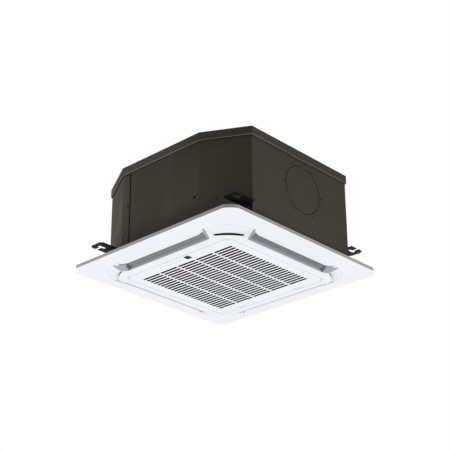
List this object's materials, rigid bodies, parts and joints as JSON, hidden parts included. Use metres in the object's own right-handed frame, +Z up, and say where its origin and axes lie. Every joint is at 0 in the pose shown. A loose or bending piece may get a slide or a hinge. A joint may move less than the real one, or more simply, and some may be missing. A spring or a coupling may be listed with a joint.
{
  "type": "ceiling cassette air conditioner",
  "caption": "Ceiling cassette air conditioner: square white panel with hinged slotted grille, louvred edge outlets and corner arc slots, under a dark bevelled steel body with hanger hooks.",
  "frame": {"origin": "centre of the panel, on the ceiling's lower face, which is the upper edge of the panel's rim", "axes": "+Z up into the ceiling void; -Y is the front, where the receiver window and indicators are; +X is the right, where the duct knock-out is; pipes leave on the left, -X"},
  "size_m": [0.647, 0.647, 0.3235],
  "materials": {
    "panel_white": "satin moulded",
    "black_plastic": "matt black moulded",
    "louvre_white": "satin moulded",
    "casing_paint": "dark satin paint",
    "hanger_paint": "black paint",
    "zinc_steel": "zinc plated",
    "grey_foam": "closed-cell foam sheet",
    "white_foam": "moulded bead foam",
    "fin_aluminium": "plain fin stock",
    "copper": "bright copper tube",
    "nut_brass": "turned",
    "fan_plastic": "moulded",
    "motor_paint": "grey paint",
    "grey_plastic": "moulded",
    "rubber_black": "soft",
    "filter_net": "open net",
    "window_black": "tinted window",
    "lens_smoke": "smoked lens",
    "board_green": "lacquered board"
  },
  "bodies": {
    "unit": {"panel_frame": "panel_white", "corner_cover_near": "panel_white", "corner_cover_right": "panel_white", "corner_cover_far": "panel_white", "corner_cover_left": "panel_white", "slot_inserts": "black_plastic", "panel_seal": "grey_foam", "panel_screws": "zinc_steel", "louvre_motors": "grey_plastic", "top_pan": "casing_paint", "casing_wrap": "casing_paint", "left_plate": "casing_paint", "pipe_cover": "zinc_steel", "hanger_front_right": "hanger_paint", "hanger_rear_right": "hanger_paint", "hanger_rear_left": "hanger_paint", "hanger_front_left": "hanger_paint", "body_screws": "zinc_steel", "weld_nuts": "zinc_steel", "casing_liner": "grey_foam", "drain_pan": "white_foam", "coil_fins": "fin_aluminium", "coil_ends": "zinc_steel", "return_bends": "copper", "corner_baffle": "zinc_steel", "bell_mouth": "grey_plastic", "fan_motor": "motor_paint", "rubber_mounts": "rubber_black", "mount_nuts": "zinc_steel", "drain_pump": "grey_plastic", "pump_bracket": "zinc_steel", "float_stem": "grey_plastic", "drain_hose": "rubber_black", "drain_outlet": "grey_plastic", "gas_pipe": "copper", "liquid_pipe": "copper", "flare_nuts": "nut_brass", "cable_grommet": "rubber_black", "control_box": "zinc_steel", "control_cover": "zinc_steel", "circuit_board": "board_green", "terminal_block": "black_plastic"},
    "grille": {"grille": "panel_white", "hinge_pins": "zinc_steel", "receiver_window": "window_black", "indicator_lenses": "lens_smoke", "display_board": "board_green"},
    "filter": {"filter_frame": "grey_plastic", "filter_mesh": "filter_net"},
    "latch_left": {"latch_left": "panel_white"},
    "latch_right": {"latch_right": "panel_white"},
    "louvre_front": {"louvre_front": "louvre_white"},
    "louvre_right": {"louvre_right": "louvre_white"},
    "louvre_rear": {"louvre_rear": "louvre_white"},
    "louvre_left": {"louvre_left": "louvre_white"},
    "rotor": {"turbo_fan": "fan_plastic", "motor_shaft": "zinc_steel", "fan_nut": "zinc_steel"},
    "impeller": {"pump_impeller": "grey_plastic"},
    "float": {"float_ring": "white_foam"}
  },
  "joints": [
    {"name": "grille_hinge", "type": "hinge", "parent": "unit", "child": "grille", "pos_m": [0, -0.177, -0.0255], "axis": [-1, 0, 0], "range_deg": [0, 90]},
    {"name": "filter_slide", "type": "slide", "parent": "grille", "child": "filter", "axis": [0, 1, 0], "range_m": [0, 0.005]},
    {"name": "latch_left_slide", "type": "slide", "parent": "grille", "child": "latch_left", "axis": [0, -1, 0], "range_m": [0, 0.0045]},
    {"name": "latch_right_slide", "type": "slide", "parent": "grille", "child": "latch_right", "axis": [0, -1, 0], "range_m": [0, 0.0045]},
    {"name": "louvre_front_swing", "type": "hinge", "parent": "unit", "child": "louvre_front", "pos_m": [0, -0.2485, -0.012], "axis": [1, 0, 0], "range_deg": [0, 75]},
    {"name": "louvre_right_swing", "type": "hinge", "parent": "unit", "child": "louvre_right", "pos_m": [0.2485, 0, -0.012], "axis": [0, 1, 0], "range_deg": [0, 75]},
    {"name": "louvre_rear_swing", "type": "hinge", "parent": "unit", "child": "louvre_rear", "pos_m": [0, 0.2485, -0.012], "axis": [-1, 0, 0], "range_deg": [0, 75]},
    {"name": "louvre_left_swing", "type": "hinge", "parent": "unit", "child": "louvre_left", "pos_m": [-0.2485, 0, -0.012], "axis": [0, -1, 0], "range_deg": [0, 75]},
    {"name": "fan_spin", "type": "hinge", "parent": "unit", "child": "rotor", "pos_m": [0, 0, 0.19], "axis": [0, 0, 1], "continuous": true},
    {"name": "pump_spin", "type": "hinge", "parent": "unit", "child": "impeller", "pos_m": [-0.2, -0.196, 0.05], "axis": [0, 0, 1], "continuous": true},
    {"name": "float_rise", "type": "slide", "parent": "unit", "child": "float", "axis": [0, 0, 1], "range_m": [0, 0.01]}
  ]
}
